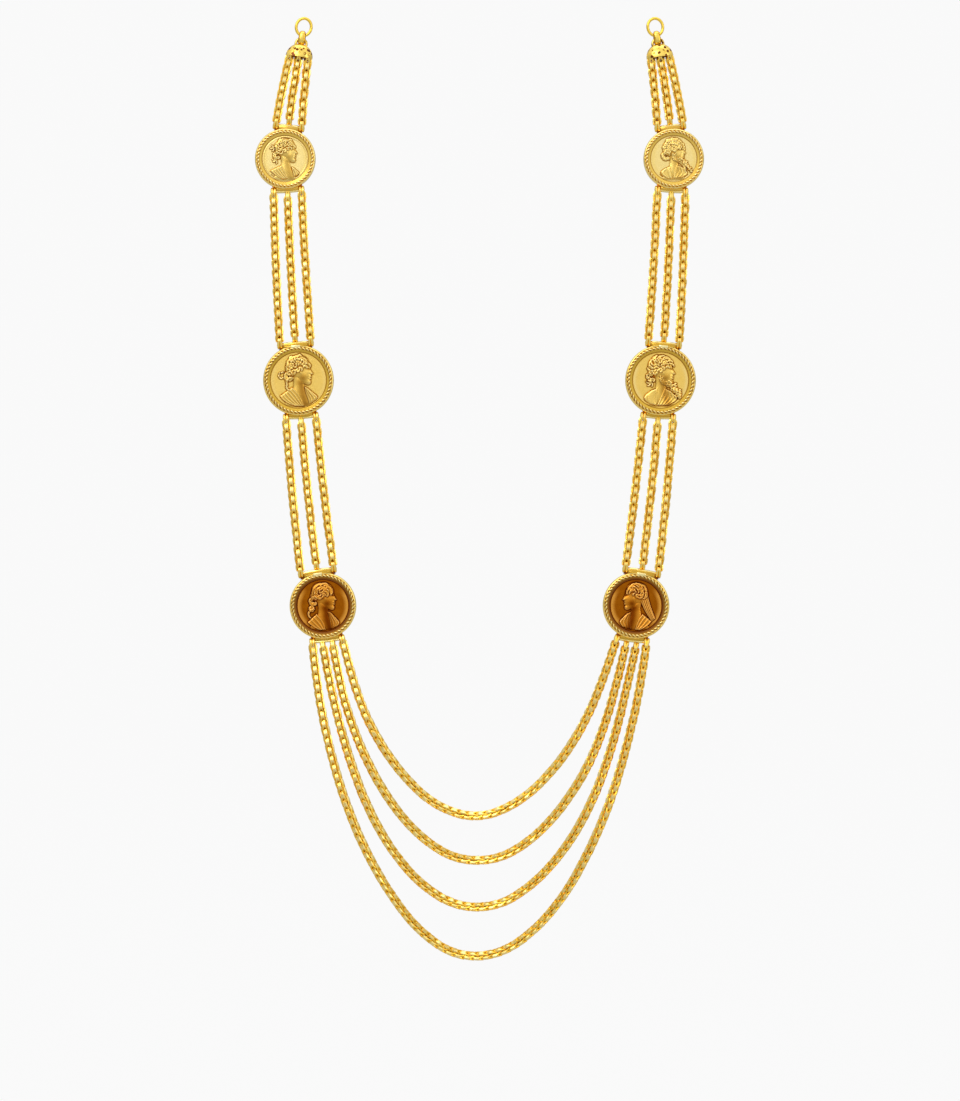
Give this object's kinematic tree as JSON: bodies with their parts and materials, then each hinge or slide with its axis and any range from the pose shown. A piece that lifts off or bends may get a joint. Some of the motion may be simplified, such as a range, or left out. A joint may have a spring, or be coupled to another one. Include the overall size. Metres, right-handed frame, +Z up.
{
  "type": "coin necklace",
  "caption": "Open necklace of framed relief coins joined by parallel round chains, with draped swags below and an oval ring at each end to hang or fasten it.",
  "frame": {"origin": "midway between the two end rings, on the line through their inner tops from which the necklace hangs", "axes": "+Z up, the front of the coins faces -Y, +X to the viewer's right in a front view"},
  "size_m": [0.1347, 0.0054, 0.283],
  "materials": {
    "chain_gold": "polished gold plate",
    "bezel_gold": "polished gold plate, toned in the twisted border",
    "ring_gold": "polished gold plate",
    "cap_gold": "polished gold plate with dark pits",
    "coin_pale": "pale satin gold",
    "coin_satin": "satin gold",
    "coin_toned": "dark amber toned gold"
  },
  "bodies": {
    "root": {"bezel_left_centre": "bezel_gold", "bezel_left_lower": "bezel_gold", "bezel_left_upper": "bezel_gold", "bezel_right_centre": "bezel_gold", "bezel_right_lower": "bezel_gold", "bezel_right_upper": "bezel_gold", "chain_left_centre_inner": "chain_gold", "chain_left_centre_middle": "chain_gold", "chain_left_centre_outer": "chain_gold", "chain_left_lower_inner": "chain_gold", "chain_left_lower_middle": "chain_gold", "chain_left_lower_outer": "chain_gold", "chain_left_upper_inner": "chain_gold", "chain_left_upper_middle": "chain_gold", "chain_left_upper_outer": "chain_gold", "chain_right_centre_inner": "chain_gold", "chain_right_centre_middle": "chain_gold", "chain_right_centre_outer": "chain_gold", "chain_right_lower_inner": "chain_gold", "chain_right_lower_middle": "chain_gold", "chain_right_lower_outer": "chain_gold", "chain_right_upper_inner": "chain_gold", "chain_right_upper_middle": "chain_gold", "chain_right_upper_outer": "chain_gold", "coin_left_centre": "coin_satin", "coin_left_lower": "coin_toned", "coin_left_upper": "coin_pale", "coin_right_centre": "coin_satin", "coin_right_lower": "coin_toned", "coin_right_upper": "coin_pale", "end_cap_left": "cap_gold", "end_cap_right": "cap_gold", "end_ring_left": "ring_gold", "end_ring_right": "ring_gold", "ring_link_left": "ring_gold", "ring_link_right": "ring_gold", "swag_first": "chain_gold", "swag_fourth": "chain_gold", "swag_second": "chain_gold", "swag_third": "chain_gold"}
  },
  "joints": []
}
